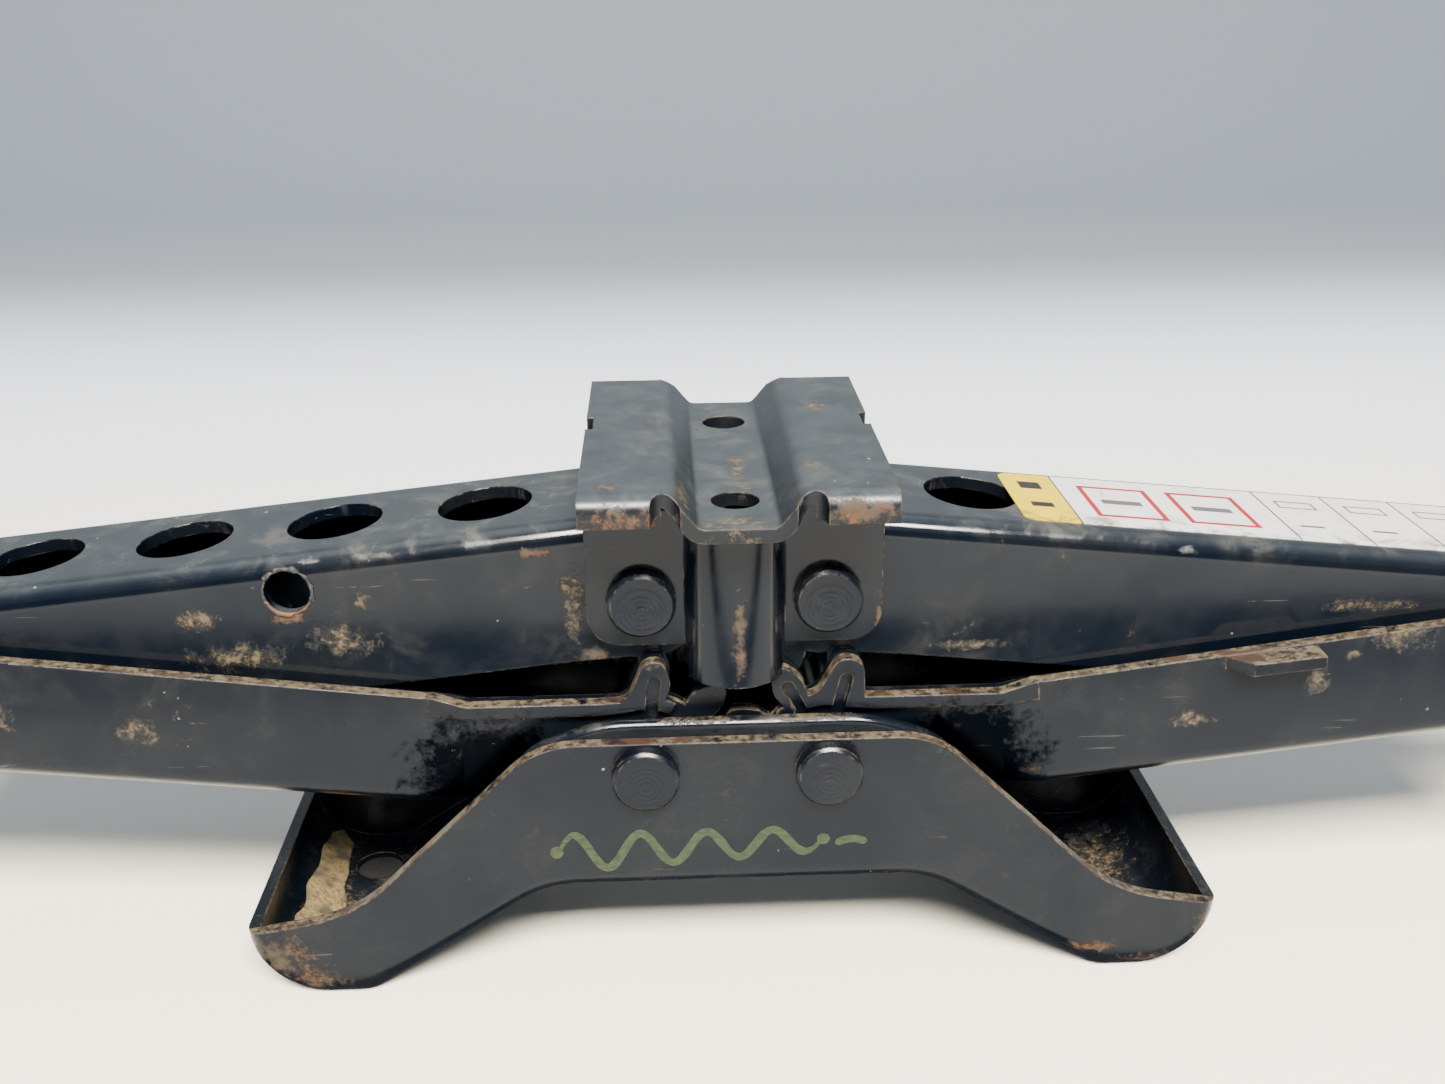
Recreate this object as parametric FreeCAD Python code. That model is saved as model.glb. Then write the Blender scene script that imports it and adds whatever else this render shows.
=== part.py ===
"""Scissor car jack, nearly lowered: pressed base, two pairs of geared channel arms,
a grooved saddle on a bracket, two knee trunnions and a lead screw between them.

Millimetres. X runs along the screw, Z is up, the origin is on the ground under the middle.
"""
import FreeCAD, Part
import math
import os

Vec = FreeCAD.Vector

# --- linkage ---------------------------------------------------------------
ARM_LENGTH = 155.0        # pivot to knee, the same for all four arms
PIVOT_X = 17.0            # half the distance between the two pivots of a pair
BASE_PIVOT_Z = 48.0
KNEE_Z = 64.0
SADDLE_PIVOT_Z = 2 * KNEE_Z - BASE_PIVOT_Z
ARM_ANGLE = math.degrees(math.asin((KNEE_Z - BASE_PIVOT_Z) / ARM_LENGTH))
KNEE_X = PIVOT_X + ARM_LENGTH * math.cos(math.radians(ARM_ANGLE))

# --- sheet and fits ----------------------------------------------------------
SHEET = 2.5
RUNNING = 0.08            # radial clearance of a turning fit
SEATED = 0.03             # radial clearance of a piece that is fixed in its hole
BEND = 4.0                # outer radius of a pressed bend

# --- pins --------------------------------------------------------------------
PIN_R = 6.2
PIN_HEAD = 3.0            # how far a pin stands out of the outer sheet
PIN_CHAMFER = 0.6

# --- base --------------------------------------------------------------------
BASE_HALF_Y = 27.9
BASE_SHEET = 2.6
BASE_TOP_Z = 54.5
ARCH_Z = 23.0
FOOT_X = 94.7
FOOT_RIM_Z = 15.0
FOOT_R = 15.0
FLOOR_HOLE_R = 5.0
FLOOR_HOLE_X = 77.0
FLOOR_HOLE_Y = 13.0
STIFFENER_SHEET = 3.0
STIFFENER_TOP_Z = 57.5
STIFFENER_END_X = 61.0

# --- arms --------------------------------------------------------------------
UPPER_HALF_Y = 17.5
UPPER_WEB_T = 15.0        # height of the web's outer face above the arm's axis
UPPER_EDGE_T = -12.0
LOWER_HALF_Y = 20.3       # narrow end, between the base's walls
LOWER_WIDE_Y = 21.9       # beyond the base
LOWER_JOG = (34.0, 42.0)  # where the lower arm widens, along the arm
LOWER_WEB_T = -14.0
RIM = 2.5                 # depth of the turned-out rim round the teeth
EAR_R = 12.5
WEB_CUTBACK = 16.0        # webs end this far before the knee
HOLE_R = 9.0
HOLE_FIRST_X = 45.0
HOLE_PITCH_X = 28.6
SIDE_HOLE_R = 4.4
SIDE_HOLE = (-81.0, 82.2)
LUG_S = (76.0, 93.5)      # stop lug on one edge of each lower arm
LUG_OUT = 4.5

# --- gear ends: nine teeth to the full circle ----------------------------------
TEETH = 9
GEAR_TIP_R = 20.3
GEAR_ROOT_R = 12.9
PRESSURE_ANGLE = 25.0
BACKLASH = 0.5
TEETH_RIGHT = (77.0, 117.0, 157.0)
TEETH_LEFT = (97.0, 137.0, 177.0)
TIP_ROUND = 1.6           # rounding of a tip on a flank that meshes
FREE_TIP_HALF = 2.4       # half width of a tip on a side that never meshes
FREE_TIP_ROUND = 2.9
FREE_ROOT_HALF = 4.6
FREE_ROOT_ROUND = 3.0

# Which sides of each tooth of a lower arm never reach the mesh: (towards the arm, away from it).
FREE_RIGHT = ((True, True), (False, False), (False, False))
FREE_LEFT = ((True, False), (False, False), (False, False))
FREE_NONE = ((False, False),) * 3
RIMMED_RIGHT = 2          # teeth with the turned-out rim round them
RIMMED_LEFT = 1
RIM_SLOT_HALF = 1.15      # hollow inside a rimmed tooth
RIM_SLOT_TOP_R = 17.2

# --- saddle --------------------------------------------------------------------
SADDLE_HALF_X = 27.0
SADDLE_HALF_Y = 37.0
SADDLE_TOP_Z = 106.0
SADDLE_SHEET = 2.6
GROOVE_Z = 100.0
GROOVE_FLOOR_X = 6.5
GROOVE_TOP_X = 11.5
LIP_DROP = 5.6
LIP_BEND_Y = 33.0
LIP_FROM_X = 13.0
GROOVE_HOLE_R = 4.3
GROOVE_HOLE_Y = 23.0
CHEEK_Y = 20.3
CHEEK_BOTTOM_Z = 71.0
RIB_R = 9.3
RIB_CENTRE_Y = 18.8
RIB_BOTTOM_Z = 65.5
RIB_BACK_Z = 67.3         # bottom of the rib's roots, clear of the gear teeth's rims

# --- knees -----------------------------------------------------------------------
BLOCK_HALF_X = 10.0
BLOCK_HALF_Y = 14.8
BLOCK_HALF_Z = 11.0
AXLE_R = 6.5
AXLE_END_Y = 26.4
WASHER_R = 10.5
SPACER_Y = (17.65, 19.25)
WASHER_Y = (22.05, 23.55)
CLIP_Y = (23.75, 24.85)
CLIP_R = 8.4
CLIP_GROOVE_R = 5.6

# --- screw -------------------------------------------------------------------------
SCREW_R = 6.0             # over the thread crests
STOP_LENGTH = 5.0
STOP_INSET = 3.5          # from the screw's free end
STOP_R = 8.5
STOP_PIN_R = 1.5
RACE_SHEET = 1.5
RACE_R = 9.8
RACE_GAP = 1.8
BALL_R = 1.3
BALL_TRACK_R = 7.9
BALLS = 12
COLLAR_R = 9.8
COLLAR_LENGTH = 3.2
EYE_R = 10.0
EYE_HOLE_R = 6.0
EYE_HALF_Y = 4.0

FIXED_RACE_X = KNEE_X + BLOCK_HALF_X + 0.05
BALL_TRACK_X = FIXED_RACE_X + RACE_SHEET + RACE_GAP / 2
TURNING_RACE_X = FIXED_RACE_X + RACE_SHEET + RACE_GAP
COLLAR_X = TURNING_RACE_X + RACE_SHEET + 0.02
NECK_X = COLLAR_X + COLLAR_LENGTH
EYE_X = NECK_X + EYE_R
TAIL_X = -(EYE_X + EYE_R)  # the free end stands out as far as the eye does
STOP_X = TAIL_X + STOP_INSET + STOP_LENGTH / 2

# --- label ---------------------------------------------------------------------------
LABEL_S = (36.0, 134.0)
LABEL_HALF_Y = 13.0
LABEL_SHEET = 0.2

FAR = 400.0


# --- small helpers ---------------------------------------------------------------------
def box(x0, x1, y0, y1, z0, z1):
    return Part.makeBox(x1 - x0, y1 - y0, z1 - z0, Vec(x0, y0, z0))


def cyl(radius, start, end):
    along = end - start
    return Part.makeCylinder(radius, along.Length, start, along)


def cyl_y(x, z, radius, y0, y1):
    return cyl(radius, Vec(x, y0, z), Vec(x, y1, z))


def ring_y(x, z, inner, outer, y0, y1):
    return cyl_y(x, z, outer, y0, y1).cut(cyl_y(x, z, inner, y0 - 1, y1 + 1))


def ring_x(z, inner, outer, x0, x1):
    outside = cyl(outer, Vec(x0, 0, z), Vec(x1, 0, z))
    return outside.cut(cyl(inner, Vec(x0 - 1, 0, z), Vec(x1 + 1, 0, z)))


def rounded_wire(corners):
    """Closed wire in the XZ plane through (x, z, radius) corners, each rounded by its radius."""
    count = len(corners)
    edges = []
    ends = []
    for i in range(count):
        before = Vec(corners[i - 1][0], 0, corners[i - 1][1])
        here = Vec(corners[i][0], 0, corners[i][1])
        after = Vec(corners[(i + 1) % count][0], 0, corners[(i + 1) % count][1])
        radius = corners[i][2]
        if radius == 0:
            ends.append((here, here, None))
            continue
        back = (before - here).normalize()
        forth = (after - here).normalize()
        half = back.getAngle(forth) / 2
        reach = radius / math.tan(half)
        middle = here + (back + forth).normalize() * (radius / math.sin(half) - radius)
        ends.append((here + back * reach, here + forth * reach, middle))
    for i in range(count):
        first, last, middle = ends[i]
        if middle is not None:
            edges.append(Part.Arc(first, middle, last).toShape())
        following = ends[(i + 1) % count][0]
        if (following - last).Length > 1e-6:
            edges.append(Part.LineSegment(last, following).toShape())
    return Part.Wire(edges)


def prism_y(wire, y0, y1):
    """Solid from an XZ wire, between two Y planes."""
    face = Part.Face(wire)
    face.translate(Vec(0, y0, 0))
    return face.extrude(Vec(0, y1 - y0, 0))


def polygon_z(points, z0, z1):
    """Solid from an XY polygon, between two Z planes."""
    corners = [Vec(x, y, z0) for x, y in points]
    return Part.Face(Part.makePolygon(corners + corners[:1])).extrude(Vec(0, 0, z1 - z0))


def fillet(shape, radius, wanted):
    """Round every edge whose middle point satisfies the test."""
    edges = [e for e in shape.Edges if wanted(e, e.CenterOfMass)]
    return shape.makeFillet(radius, edges)


def mirrored_x(shape):
    return shape.mirror(Vec(0, 0, 0), Vec(1, 0, 0))


def mirrored_y(shape):
    return shape.mirror(Vec(0, 0, 0), Vec(0, 1, 0))


def both_ends(corners):
    """Outline symmetric about X = 0 from its right half, listed from the bottom to the top."""
    left = [(-x, z, r) for x, z, r in reversed(corners)]
    return rounded_wire(corners + left)


def save(name, shape):
    shape = shape.removeSplitter()
    os.makedirs("parts", exist_ok=True)
    shape.exportStep("parts/" + name + ".step")
    extent = shape.optimalBoundingBox(False)
    print(f"{name:22s} solids {len(shape.Solids)} valid {shape.isValid()} volume {shape.Volume:8.0f}"
          f"  x {extent.XMin:7.2f} to {extent.XMax:7.2f}  y {extent.YMin:6.2f} to {extent.YMax:6.2f}"
          f"  z {extent.ZMin:6.2f} to {extent.ZMax:6.2f}")


# --- base ---------------------------------------------------------------------------------
def base_outline():
    """Side view of the bow-shaped base: arch, sloping legs, round feet, high middle."""
    return both_ends([
        (36.5, ARCH_Z, 20.0),
        (71.5, 0.0, 8.0),
        (FOOT_X, 0.0, FOOT_R - 0.01),
        (FOOT_X, FOOT_RIM_Z, 0),
        (73.5, 18.6, 30.0),
        (37.0, BASE_TOP_Z, 18.0),
    ])


def base_cavity_outline():
    """Inside of the pan: one sheet above the underside and open at the top."""
    t = BASE_SHEET
    return both_ends([
        (36.5 + 0.8, ARCH_Z + t, 20.0 + t),
        (71.5 + 0.8, t, 8.0 - t),
        (FOOT_X - t, t, FOOT_R - t - 0.01),
        (FOOT_X - t, 90.0, 0),
    ])


def base_pan():
    solid = prism_y(base_outline(), -BASE_HALF_Y, BASE_HALF_Y)

    def under(edge, middle):
        on_side = abs(abs(middle.y) - BASE_HALF_Y) < 0.01 and edge.BoundBox.YLength < 0.01
        high = edge.BoundBox.ZMax > FOOT_RIM_Z + 0.5 and middle.z > ARCH_Z + 0.5
        sloping_top = edge.BoundBox.ZMin > FOOT_RIM_Z - 0.5 and abs(middle.x) > 50
        return on_side and not high and not sloping_top

    solid = fillet(solid, BEND, under)
    inside = BASE_HALF_Y - BASE_SHEET
    solid = solid.cut(prism_y(base_cavity_outline(), -inside, inside))
    for side in (-1, 1):
        x = side * PIVOT_X
        solid = solid.cut(cyl_y(x, BASE_PIVOT_Z, PIN_R + SEATED, -FAR, FAR))
        hole = Vec(side * FLOOR_HOLE_X, -side * FLOOR_HOLE_Y, -1)
        solid = solid.cut(cyl(FLOOR_HOLE_R, hole, hole + Vec(0, 0, 8)))
    return solid


def base_stiffener():
    """Doubler plate behind the front wall, its rounded crest standing above the wall."""
    outer = BASE_HALF_Y - BASE_SHEET
    outline = both_ends([
        (38.0, 28.0, 8.0),
        (STIFFENER_END_X, 13.5, 3.0),
        (STIFFENER_END_X, 29.5, 4.0),
        (37.5, 53.0, 14.0),
        (25.0, STIFFENER_TOP_Z, 30.0),
    ])
    plate = prism_y(outline, -outer, -outer + STIFFENER_SHEET)
    plate = fillet(plate, 1.3, lambda edge, middle:
                   middle.z > 52.0 and edge.BoundBox.YLength < 0.01 and edge.BoundBox.XLength > 1.0)
    for side in (-1, 1):
        plate = plate.cut(cyl_y(side * PIVOT_X, BASE_PIVOT_Z, PIN_R + SEATED, -FAR, FAR))
    return plate


def pin(x, z, outer_y):
    """Riveted pivot pin; its ends stand out of the sheets on both sides."""
    end = outer_y + PIN_HEAD
    body = cyl_y(x, z, PIN_R, -end, end)
    return body.makeChamfer(PIN_CHAMFER, [e for e in body.Edges if e.BoundBox.YLength < 0.01])


# --- arms, drawn with the pivot at the origin and the knee on +X --------------------------
def involute_point(base_radius, radius, start_angle, sign):
    roll = math.sqrt(max((radius / base_radius) ** 2 - 1, 0))
    angle = start_angle + sign * (roll - math.atan(roll))
    return radius * math.cos(angle), radius * math.sin(angle)


def meshing_flank(sign):
    """Corners of one flank of a tooth that points along +X, from its foot to its tip."""
    base_r = PIVOT_X * math.cos(math.radians(PRESSURE_ANGLE))
    inv = math.tan(math.radians(PRESSURE_ANGLE)) - math.radians(PRESSURE_ANGLE)
    half = math.pi / (2 * TEETH) - BACKLASH / (4 * PIVOT_X) + inv
    foot_r = GEAR_ROOT_R - 3
    corners = [(foot_r * math.cos(half), sign * foot_r * math.sin(half), 0)]
    for k in range(5):
        radius = base_r + (GEAR_TIP_R - base_r) * k / 4
        x, z = involute_point(base_r, radius, sign * half, -sign)
        corners.append((x, z, TIP_ROUND if k == 4 else 0))
    return corners


def free_flank(sign):
    """Corners of a rounder, wider flank on the side of a tooth that never meshes."""
    return [(GEAR_ROOT_R - 3, sign * (FREE_ROOT_HALF + 4), 0),
            (GEAR_ROOT_R - 0.6, sign * FREE_ROOT_HALF, FREE_ROOT_ROUND),
            (GEAR_TIP_R, sign * FREE_TIP_HALF, FREE_TIP_ROUND)]


def tooth(angle, free):
    """Outline of one tooth of a gear end, pointing at an angle in degrees."""
    near = free_flank(-1) if free[0] else meshing_flank(-1)
    far = free_flank(1) if free[1] else meshing_flank(1)
    cosine = math.cos(math.radians(angle))
    sine = math.sin(math.radians(angle))
    return rounded_wire([(x * cosine - z * sine, x * sine + z * cosine, radius)
                         for x, z, radius in near + far[::-1]])


def local_teeth(angles):
    """Tooth angles in the arm's own frame, for a lower arm."""
    return [a - ARM_ANGLE for a in angles]


def with_teeth(plate, angles, free, y0, y1):
    for angle, sides in zip(angles, free):
        plate = plate.fuse(prism_y(tooth(angle, sides), y0, y1))
    return plate.fuse(cyl_y(0, 0, GEAR_ROOT_R, y0, y1))


def lower_wall_outline():
    """Side view of a lower arm without its teeth: web edge below, open edge above."""
    return rounded_wire([
        (0.0, LOWER_WEB_T, 6.0),
        (ARM_LENGTH, -EAR_R, 0),
        (ARM_LENGTH, EAR_R, 0),
        (LOWER_JOG[0] + 6, 9.8, 3.0),
        (LOWER_JOG[0], 8.4, 3.0),
        (9.0, 11.0, 6.0),
        (0.0, GEAR_ROOT_R - 0.4, 0),
        (-8.0, 8.0, 0),
        (-12.2, 0.0, 4.0),
        (-8.0, -11.0, 5.0),
    ])


def channel_body(half_narrow, half_wide, lift, radius):
    """Trough with rounded bottom corners: narrow between the base's walls, wider beyond."""
    drop = (LOWER_WEB_T + EAR_R) / ARM_LENGTH
    sections = []
    for s, half in ((-40.0, half_narrow), (LOWER_JOG[0], half_narrow),
                    (LOWER_JOG[1], half_wide), (220.0, half_wide)):
        bottom = LOWER_WEB_T + lift - drop * s
        section = rounded_wire([(-half, 60, 0), (-half, bottom, radius),
                                (half, bottom, radius), (half, 60, 0)])
        section.rotate(Vec(0, 0, 0), Vec(0, 0, 1), 90)
        section.translate(Vec(s, 0, 0))
        sections.append(section)
    return Part.makeLoft(sections, True, True)


def ear_web_cut(half_y, start):
    """Room at both ends of an arm, where only the two side walls continue."""
    inner = box(-60, start, -half_y, half_y, -60, 60)
    outer = box(ARM_LENGTH - WEB_CUTBACK, 260, -half_y, half_y, -60, 60)
    return inner.fuse(outer)


def lower_arm(angles, free, rimmed, hole_positions):
    teeth = local_teeth(angles)
    full = prism_y(lower_wall_outline(), -30, 30)
    full = full.fuse(cyl_y(ARM_LENGTH, 0, EAR_R, -30, 30))
    full = with_teeth(full, teeth, free, -30, 30)
    narrow = LOWER_HALF_Y - SHEET
    wide = LOWER_WIDE_Y - SHEET
    shell = full.common(channel_body(LOWER_HALF_Y, LOWER_WIDE_Y, 0, BEND))
    gear_end = full.common(box(-60, 6, -LOWER_HALF_Y, LOWER_HALF_Y, -60, 60))
    arm = shell.fuse(gear_end).cut(channel_body(narrow, wide, SHEET, BEND - SHEET))
    arm = arm.cut(ear_web_cut(narrow, 6.0))
    arm = arm.cut(box(ARM_LENGTH - WEB_CUTBACK, 260, -wide, wide, -60, 60))
    front_rim = rim(teeth[:rimmed], free)
    arm = arm.fuse(front_rim).fuse(mirrored_y(front_rim))
    arm = arm.fuse(lug())
    arm = arm.cut(cyl_y(0, 0, PIN_R + RUNNING, -60, 60))
    arm = arm.cut(cyl_y(ARM_LENGTH, 0, AXLE_R + RUNNING, -60, 60))
    for s in hole_positions:
        arm = arm.cut(cyl(HOLE_R, Vec(s, 0, -40), Vec(s, 0, 0)))
    return arm


def rim(teeth, free):
    """Turned-out rim along the open edge and round the first teeth, on the front side."""
    y0 = -LOWER_WIDE_Y
    y1 = -LOWER_HALF_Y + 0.2
    band = prism_y(lower_wall_outline(), y0, y1)
    band = with_teeth(band, teeth, free, y0, y1)
    below_edge = prism_y(rounded_wire([
        (0, -30, 0),
        (60, -30, 0),
        (60, 6.6, 0),
        (LOWER_JOG[0], 8.4 - RIM, 0),
        (9.0, 11.0 - RIM, 3.0),
        (0, GEAR_ROOT_R - RIM, 0)]), y0 - 1, y1 + 1)
    beyond = box(LOWER_JOG[1] - 1, 300, y0 - 1, y1 + 1, -60, 60)
    under = box(-60, 60, y0 - 1, y1 + 1, -60, -4)
    band = band.cut(below_edge).cut(beyond).cut(under)
    band = band.cut(cyl_y(0, 0, GEAR_ROOT_R - RIM, y0 - 1, y1 + 1))
    band = band.cut(past_last_tooth(teeth[-1], y0 - 1, y1 + 1))
    for angle in teeth:
        slot = box(GEAR_ROOT_R - RIM - 1, RIM_SLOT_TOP_R - RIM_SLOT_HALF, y0 - 1, -LOWER_HALF_Y,
                   -RIM_SLOT_HALF, RIM_SLOT_HALF)
        slot = slot.fuse(cyl_y(RIM_SLOT_TOP_R - RIM_SLOT_HALF, 0, RIM_SLOT_HALF, y0 - 1, -LOWER_HALF_Y))
        slot.rotate(Vec(0, 0, 0), Vec(0, 1, 0), -angle)
        band = band.cut(slot)
    return band


def past_last_tooth(angle, y0, y1):
    """Sector beyond a tooth, where the rim has ended."""
    half_pitch = 180 / TEETH
    start = math.radians(angle + half_pitch)
    far = 4 * GEAR_TIP_R
    return prism_y(rounded_wire([
        (0, 0, 0),
        (far * math.cos(start), far * math.sin(start), 0),
        (-far, -far, 0)]), y0, y1)


def lug():
    """Stop lug turned out of the open edge of the wide part, on the front side."""
    mid = (LUG_S[0] + LUG_S[1]) / 2
    height = 9.8 + (EAR_R - 9.8) * (mid - LOWER_JOG[0] - 6) / (ARM_LENGTH - LOWER_JOG[0] - 6)
    inner = -LOWER_WIDE_Y + 0.3
    plan = [(LUG_S[0], inner), (LUG_S[1], inner),
            (LUG_S[1], -LOWER_WIDE_Y - LUG_OUT), (LUG_S[0] + 4, -LOWER_WIDE_Y - LUG_OUT)]
    return polygon_z(plan, height - SHEET - 0.4, height - 0.4)


def upper_wall_outline():
    """Side view of an upper arm without its teeth: web edge above, open edge below."""
    return rounded_wire([
        (0.0, UPPER_WEB_T, 0),
        (-8.5, 11.5, 5.0),
        (-12.4, 0.0, 4.0),
        (-8.0, -8.0, 0),
        (0.0, -GEAR_ROOT_R + 0.4, 0),
        (14.0, UPPER_EDGE_T, 8.0),
        (ARM_LENGTH, -EAR_R, 0),
        (ARM_LENGTH, EAR_R - 0.4, 0),
        (ARM_LENGTH - WEB_CUTBACK + 8, EAR_R - 0.4, 6.0),
        (ARM_LENGTH - WEB_CUTBACK, UPPER_WEB_T, 0),
    ])


def upper_arm(angles, hole_positions):
    teeth = [-a for a in local_teeth(angles)]
    shell = prism_y(upper_wall_outline(), -UPPER_HALF_Y, UPPER_HALF_Y)
    shell = fillet(shell, BEND, lambda edge, middle:
                   abs(middle.z - UPPER_WEB_T) < 0.01 and edge.BoundBox.XLength > 50)
    shell = shell.fuse(cyl_y(ARM_LENGTH, 0, EAR_R, -UPPER_HALF_Y, UPPER_HALF_Y))
    shell = with_teeth(shell, teeth, FREE_NONE, -UPPER_HALF_Y, UPPER_HALF_Y)
    inside = UPPER_HALF_Y - SHEET
    hollow = box(-60, 260, -inside, inside, -60, UPPER_WEB_T - SHEET)
    hollow = fillet(hollow, BEND - SHEET, lambda edge, middle:
                    middle.z > UPPER_WEB_T - SHEET - 0.01 and edge.BoundBox.XLength > 50)
    arm = shell.cut(hollow).cut(ear_web_cut(inside, 0.0))
    arm = arm.cut(cyl_y(0, 0, PIN_R + RUNNING, -60, 60))
    arm = arm.cut(cyl_y(ARM_LENGTH, 0, AXLE_R + RUNNING, -60, 60))
    for s in hole_positions:
        arm = arm.cut(cyl(HOLE_R, Vec(s, 0, 0), Vec(s, 0, 40)))
    return arm


def place_arm(arm, pivot_z, angle):
    """Turn an arm drawn along +X up by the angle and set its pivot in place, right side."""
    arm.rotate(Vec(0, 0, 0), Vec(0, 1, 0), -angle)
    arm.translate(Vec(PIVOT_X, 0, pivot_z))
    return arm


def holes_along(count):
    """Places of the web's lightening holes along an arm."""
    cosine = math.cos(math.radians(ARM_ANGLE))
    return [(HOLE_FIRST_X + k * HOLE_PITCH_X - PIVOT_X) / cosine for k in range(count)]


def label():
    top = UPPER_WEB_T
    plate = box(LABEL_S[0], LABEL_S[1], -LABEL_HALF_Y, LABEL_HALF_Y, top, top + LABEL_SHEET)
    return fillet(plate, 2.5, lambda edge, middle: edge.BoundBox.ZLength > 0.1)


# --- saddle ---------------------------------------------------------------------------------
def saddle_plate():
    drop = SADDLE_SHEET
    section = both_ends([
        (GROOVE_FLOOR_X + 1.2, GROOVE_Z - drop, 4.5),
        (GROOVE_TOP_X + 1.2, SADDLE_TOP_Z - drop, 2.0),
        (SADDLE_HALF_X, SADDLE_TOP_Z - drop, 0),
        (SADDLE_HALF_X, SADDLE_TOP_Z, 0),
        (GROOVE_TOP_X, SADDLE_TOP_Z, 4.5),
        (GROOVE_FLOOR_X, GROOVE_Z, 2.0),
    ])
    plate = prism_y(section, -SADDLE_HALF_Y, SADDLE_HALF_Y)
    for sx in (-1, 1):
        x0, x1 = sorted((sx * LIP_FROM_X, sx * SADDLE_HALF_X))
        for sy in (-1, 1):
            y0, y1 = sorted((sy * LIP_BEND_Y, sy * (SADDLE_HALF_Y + 1)))
            plate = plate.cut(box(x0 - 0.01, x1 + 0.01, y0, y1, 90, 120))
            plate = plate.fuse(saddle_lip(x0, x1, sy))
    plate = plate.removeSplitter()
    for sx in (-1, 1):
        for sy in (-1, 1):
            corner = Vec(sx * (LIP_FROM_X - 0.6), sy * (SADDLE_HALF_Y + 0.4), 90)
            plate = plate.cut(cyl(2.6, corner, corner + Vec(0, 0, 30)))
        notch_x0, notch_x1 = sorted((sx * (SADDLE_HALF_X - 1.4), sx * (SADDLE_HALF_X + 2)))
        plate = plate.cut(box(notch_x0, notch_x1, 1.0, 8.5, 90, 120))
    for sy in (-1, 1):
        hole = Vec(0, sy * GROOVE_HOLE_Y, 90)
        plate = plate.cut(cyl(GROOVE_HOLE_R, hole, hole + Vec(0, 0, 30)))
    return plate


def saddle_lip(x0, x1, side):
    """Folded-down edge of one saddle half, on the front (-1) or the back (1)."""
    inner = SADDLE_HALF_Y - SADDLE_SHEET
    section = rounded_wire([
        (side * LIP_BEND_Y, SADDLE_TOP_Z, 0),
        (side * SADDLE_HALF_Y, SADDLE_TOP_Z, 3.2),
        (side * SADDLE_HALF_Y, SADDLE_TOP_Z - LIP_DROP, 0),
        (side * inner, SADDLE_TOP_Z - LIP_DROP, 0),
        (side * inner, SADDLE_TOP_Z - SADDLE_SHEET, 0.6),
        (side * LIP_BEND_Y, SADDLE_TOP_Z - SADDLE_SHEET, 0)])
    section.rotate(Vec(0, 0, 0), Vec(0, 0, 1), 90)
    section.translate(Vec(x0, 0, 0))
    return Part.Face(section).extrude(Vec(x1 - x0, 0, 0))


def saddle_bracket():
    top = SADDLE_TOP_Z - SADDLE_SHEET
    cheek = rounded_wire([
        (-SADDLE_HALF_X, CHEEK_BOTTOM_Z, 6.0),
        (SADDLE_HALF_X, CHEEK_BOTTOM_Z, 6.0),
        (SADDLE_HALF_X, top, 0),
        (-SADDLE_HALF_X, top, 0)])
    block = prism_y(cheek, -CHEEK_Y, CHEEK_Y)
    block = fillet(block, BEND, lambda edge, middle:
                   abs(middle.z - top) < 0.01 and edge.BoundBox.XLength > 50)
    inside = CHEEK_Y - SHEET
    block = block.cut(box(-60, 60, -inside, inside, 0, top - SHEET))
    rib_top = GROOVE_Z - SADDLE_SHEET
    gap = GROOVE_TOP_X + 1.8
    block = block.cut(box(-gap, gap, -60, 60, rib_top, 120))
    block = block.cut(box(-gap, gap, -inside, inside, 0, 120))
    for sy in (-1, 1):
        foot = Vec(0, sy * RIB_CENTRE_Y, RIB_BOTTOM_Z)
        rib = cyl(RIB_R, foot, Vec(0, foot.y, rib_top))
        y0, y1 = sorted((sy * inside, sy * 60))
        rib = rib.common(box(-60, 60, y0, y1, 0, 120))
        block = block.fuse(rib)
        bore = Vec(0, foot.y, 0)
        block = block.cut(cyl(RIB_R - SHEET, bore, bore + Vec(0, 0, 150)))
    rim_y = LOWER_WIDE_Y + 0.4
    block = block.cut(box(-RIB_R, RIB_R, -rim_y, rim_y, 0, RIB_BACK_Z))
    for side in (-1, 1):
        block = block.cut(cyl_y(side * PIVOT_X, SADDLE_PIVOT_Z, PIN_R + SEATED, -FAR, FAR))
    return block


# --- knees and screw --------------------------------------------------------------------------
def trunnion(x, bore_r):
    body = box(x - BLOCK_HALF_X, x + BLOCK_HALF_X, -BLOCK_HALF_Y, BLOCK_HALF_Y,
               KNEE_Z - BLOCK_HALF_Z, KNEE_Z + BLOCK_HALF_Z)
    body = fillet(body, 3.0, lambda edge, middle: edge.BoundBox.YLength > 5)
    axle = cyl_y(x, KNEE_Z, AXLE_R, -AXLE_END_Y, AXLE_END_Y)
    axle = axle.makeChamfer(0.6, [e for e in axle.Edges if e.BoundBox.YLength < 0.01])
    for sy in (-1, 1):
        y0, y1 = sorted((sy * (CLIP_Y[0] - 0.05), sy * (CLIP_Y[1] + 0.05)))
        axle = axle.cut(ring_y(x, KNEE_Z, CLIP_GROOVE_R, AXLE_R + 1, y0, y1))
    body = body.fuse(axle)
    return body.cut(cyl(bore_r, Vec(x - 40, 0, KNEE_Z), Vec(x + 40, 0, KNEE_Z)))


def pair_of_rings(x, inner, outer, span):
    """The same ring on the front and on the back of a knee."""
    front = ring_y(x, KNEE_Z, inner, outer, -span[1], -span[0])
    return Part.makeCompound([front, mirrored_y(front)])


def clip_pair(x):
    """Open retaining rings in the grooves of a knee's axle."""
    ring = ring_y(x, KNEE_Z, CLIP_GROOVE_R + SEATED, CLIP_R, -CLIP_Y[1], -CLIP_Y[0])
    ring = ring.cut(box(x - 1.8, x + 1.8, -60, 0, KNEE_Z, KNEE_Z + 20))
    return Part.makeCompound([ring, mirrored_y(ring)])


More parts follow.
